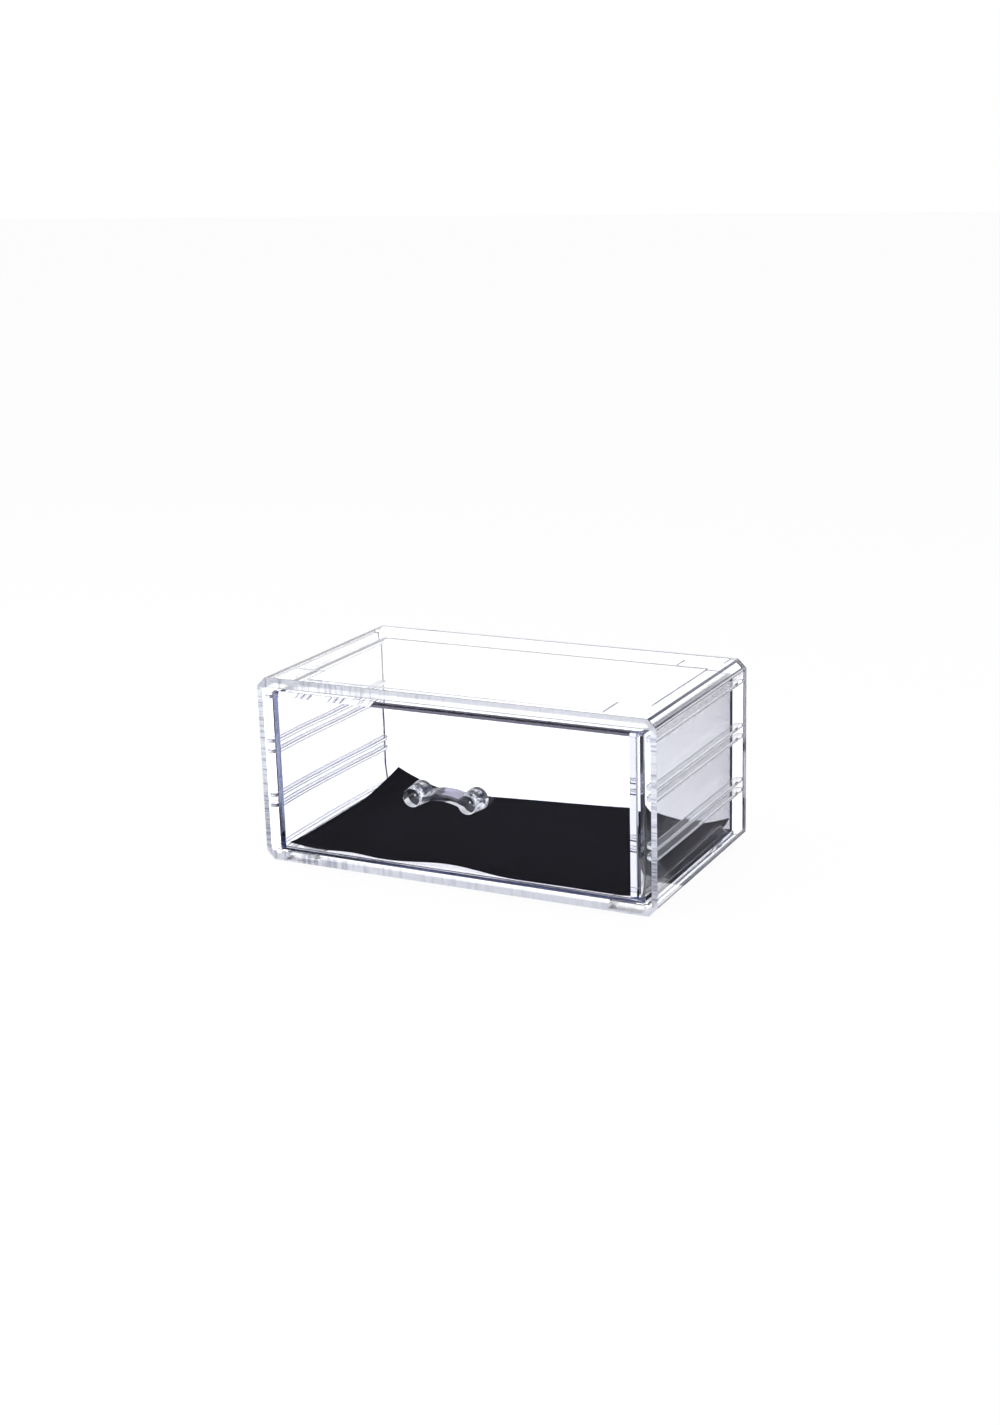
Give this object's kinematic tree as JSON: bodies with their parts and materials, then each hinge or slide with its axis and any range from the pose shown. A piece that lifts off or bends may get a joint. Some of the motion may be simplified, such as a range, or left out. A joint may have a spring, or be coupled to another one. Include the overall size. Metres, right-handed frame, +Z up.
{
  "type": "drawer organizer",
  "caption": "Clear stackable vanity box: bevel-edged tube case on low feet, with one deep pull-out drawer, an arched pull handle and a thin black liner.",
  "frame": {"origin": "under the middle of the whole object, handle included, on the plane that the feet stand on", "axes": "+Z up, the drawer opens towards -Y, +X to the right of a person facing the drawer"},
  "size_m": [0.24, 0.145, 0.11],
  "materials": {
    "clear_polystyrene": "polished clear moulding",
    "black_liner": "matte felt-faced sheet"
  },
  "bodies": {
    "case": {"case_top": "clear_polystyrene", "case_bottom": "clear_polystyrene", "case_left_side": "clear_polystyrene", "case_right_side": "clear_polystyrene", "case_back": "clear_polystyrene"},
    "drawer": {"drawer_tray": "clear_polystyrene", "drawer_front": "clear_polystyrene", "drawer_handle": "clear_polystyrene", "drawer_liner": "black_liner"}
  },
  "joints": [
    {"name": "drawer_slide", "type": "slide", "parent": "case", "child": "drawer", "axis": [0, -1, 0], "range_m": [0, 0.1]}
  ]
}
